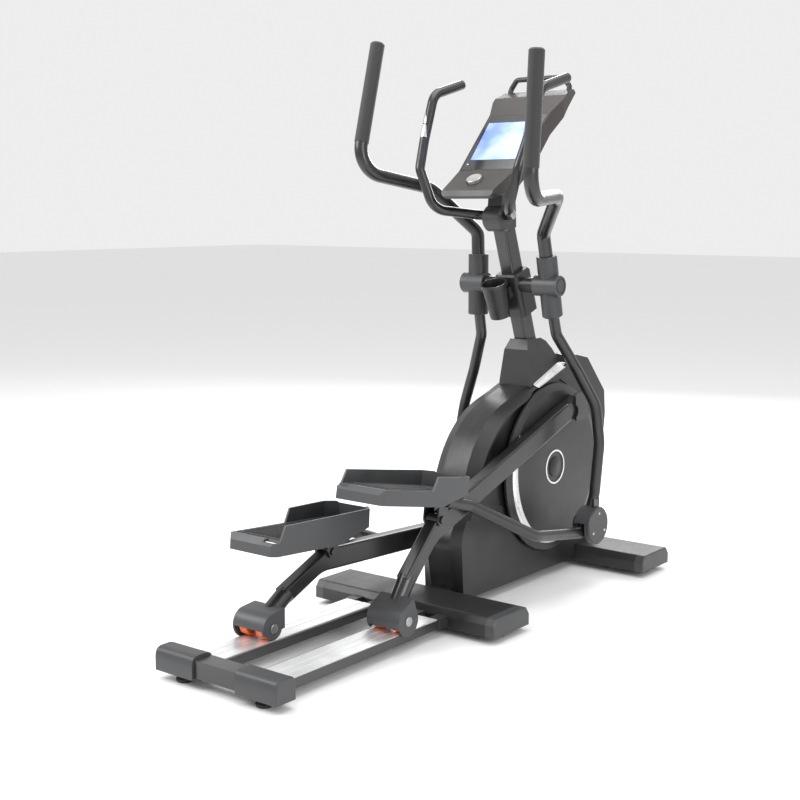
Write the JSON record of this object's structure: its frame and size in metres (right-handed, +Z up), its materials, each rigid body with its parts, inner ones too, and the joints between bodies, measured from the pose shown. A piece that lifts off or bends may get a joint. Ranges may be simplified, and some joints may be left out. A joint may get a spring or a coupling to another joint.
{
  "type": "elliptical trainer",
  "caption": "Front-drive elliptical trainer: roller arms on rear tracks, hinged pedal links, swinging and fixed handlebars, flywheel under a shroud, tilted touch console",
  "frame": {"origin": "on the floor at the centre of the bounding box", "axes": "+X is the user's right, +Y is the front, where the console stands, +Z is up"},
  "size_m": [0.7762, 1.91, 1.8119],
  "materials": {
    "frame_paint": "satin black powder coat",
    "steel": "bright steel",
    "track_aluminium": "anodised",
    "sensor_chrome": "polished",
    "display_glass": "glossy",
    "flywheel_iron": "machined",
    "belt_rubber": "matte",
    "foot_rubber": "matte",
    "dial_metal": "satin",
    "console_plastic": "fine grain",
    "handle_plastic": "satin",
    "grey_plastic": "satin",
    "disc_plastic": "semi gloss",
    "roller_urethane": "smooth",
    "pedal_plastic": "satin",
    "tread_rubber": "ribbed",
    "grip_foam": "fine foam",
    "black_plastic": "satin"
  },
  "bodies": {
    "frame": {"main_frame": "frame_paint", "rear_stabiliser": "frame_paint", "cross_tubes": "frame_paint", "rear_stabiliser_caps": "grey_plastic", "stabiliser_covers": "black_plastic", "stabiliser_end_caps": "grey_plastic", "levelling_feet": "foot_rubber", "track_rails": "frame_paint", "track_plates": "track_aluminium", "track_sockets": "black_plastic", "mast": "frame_paint", "pivot_housing": "black_plastic", "pivot_axle": "steel", "cup_holder": "black_plastic", "neck_cover": "black_plastic", "shroud_left": "black_plastic", "shroud_right": "black_plastic", "fixed_handlebar": "frame_paint", "handlebar_clamp": "grey_plastic", "pulse_sensors": "sensor_chrome", "console_housing": "console_plastic", "display_glass": "display_glass", "console_handle": "handle_plastic", "crank_bearings": "steel", "drive_belt": "belt_rubber", "flywheel_axle": "steel", "idler_arm": "steel", "brake_magnet": "steel", "brake_motor": "black_plastic"},
    "crank": {"crank_axle": "steel", "drive_pulley": "black_plastic", "crank_discs": "disc_plastic"},
    "flywheel_body": {"flywheel": "flywheel_iron"},
    "idler_body": {"idler": "steel"},
    "dial": {"jog_dial": "dial_metal"},
    "right_carriage": {"right_roller_axle": "steel"},
    "right_wheels": {"right_rollers": "roller_urethane"},
    "right_arm": {"right_roller_arm": "frame_paint", "right_truck_cover": "grey_plastic"},
    "right_link": {"right_pedal_link": "frame_paint", "right_pedal": "pedal_plastic", "right_pedal_tread": "tread_rubber"},
    "right_handle": {"right_lower_bar": "frame_paint", "right_pivot_sleeve": "grey_plastic", "right_lower_pivot_cover": "grey_plastic", "right_upper_handle": "frame_paint", "right_grip": "grip_foam"},
    "left_carriage": {"left_roller_axle": "steel"},
    "left_wheels": {"left_rollers": "roller_urethane"},
    "left_arm": {"left_roller_arm": "frame_paint", "left_truck_cover": "grey_plastic"},
    "left_link": {"left_pedal_link": "frame_paint", "left_pedal": "pedal_plastic", "left_pedal_tread": "tread_rubber"},
    "left_handle": {"left_lower_bar": "frame_paint", "left_pivot_sleeve": "grey_plastic", "left_lower_pivot_cover": "grey_plastic", "left_upper_handle": "frame_paint", "left_grip": "grip_foam"}
  },
  "joints": [
    {"name": "crank_spin", "type": "hinge", "parent": "frame", "child": "crank", "pos_m": [0, 0.578, 0.393], "axis": [1, 0, 0], "continuous": true},
    {"name": "flywheel_spin", "type": "hinge", "parent": "frame", "child": "flywheel_body", "pos_m": [0, 0.8, 0.33], "axis": [1, 0, 0], "continuous": true},
    {"name": "idler_spin", "type": "hinge", "parent": "frame", "child": "idler_body", "pos_m": [0, 0.72402, 0.24662], "axis": [1, 0, 0], "continuous": true},
    {"name": "dial_turn", "type": "hinge", "parent": "frame", "child": "dial", "pos_m": [-0.006, 0.23678, 1.35847], "axis": [0, -0.5145, 0.8575], "continuous": true},
    {"name": "right_carriage_slide", "type": "slide", "parent": "frame", "child": "right_carriage", "axis": [0, 1, 0], "range_m": [-0.3314, 0.1221]},
    {"name": "right_roller_spin", "type": "hinge", "parent": "right_carriage", "child": "right_wheels", "pos_m": [0, -0.35599, 0.093], "axis": [1, 0, 0], "continuous": true},
    {"name": "right_arm_pitch", "type": "hinge", "parent": "right_carriage", "child": "right_arm", "pos_m": [0, -0.35599, 0.093], "axis": [1, 0, 0], "range_deg": [-22.6, 1]},
    {"name": "right_pedal_tilt", "type": "hinge", "parent": "right_arm", "child": "right_link", "pos_m": [0, -0.14705, 0.34881], "axis": [1, 0, 0], "range_deg": [-1.4, 30.3]},
    {"name": "right_handle_swing", "type": "hinge", "parent": "frame", "child": "right_handle", "pos_m": [0, 0.4475, 1.0215], "axis": [1, 0, 0], "range_deg": [-22.9, 8.5]},
    {"name": "left_carriage_slide", "type": "slide", "parent": "frame", "child": "left_carriage", "axis": [0, 1, 0], "range_m": [-0.1225, 0.3318]},
    {"name": "left_roller_spin", "type": "hinge", "parent": "left_carriage", "child": "left_wheels", "pos_m": [0, -0.64305, 0.093], "axis": [1, 0, 0], "continuous": true},
    {"name": "left_arm_pitch", "type": "hinge", "parent": "left_carriage", "child": "left_arm", "pos_m": [0, -0.64305, 0.093], "axis": [1, 0, 0], "range_deg": [-0.9, 22.7]},
    {"name": "left_pedal_tilt", "type": "hinge", "parent": "left_arm", "child": "left_link", "pos_m": [0, -0.35413, 0.25306], "axis": [1, 0, 0], "range_deg": [-30.3, 1.2]},
    {"name": "left_handle_swing", "type": "hinge", "parent": "frame", "child": "left_handle", "pos_m": [0, 0.4475, 1.0215], "axis": [1, 0, 0], "range_deg": [-8.5, 22.9]}
  ],
  "couplings": [
    {"joint": "flywheel_spin", "follows": "crank_spin", "ratio": 6},
    {"joint": "idler_spin", "follows": "crank_spin", "ratio": -5},
    {"joint": "right_roller_spin", "follows": "right_carriage_slide", "rad_per_m": -28.818},
    {"joint": "right_arm_pitch", "follows": "right_carriage_slide", "rad_per_m": 0.12008},
    {"joint": "right_pedal_tilt", "follows": "right_carriage_slide", "rad_per_m": -0.103},
    {"joint": "right_handle_swing", "follows": "right_carriage_slide", "rad_per_m": 1.2008},
    {"joint": "left_carriage_slide", "follows": "right_carriage_slide", "ratio": -1},
    {"joint": "left_roller_spin", "follows": "right_carriage_slide", "rad_per_m": 28.818},
    {"joint": "left_arm_pitch", "follows": "right_carriage_slide", "rad_per_m": -0.12008},
    {"joint": "left_pedal_tilt", "follows": "right_carriage_slide", "rad_per_m": 0.0993},
    {"joint": "left_handle_swing", "follows": "right_carriage_slide", "rad_per_m": -1.2008}
  ]
}
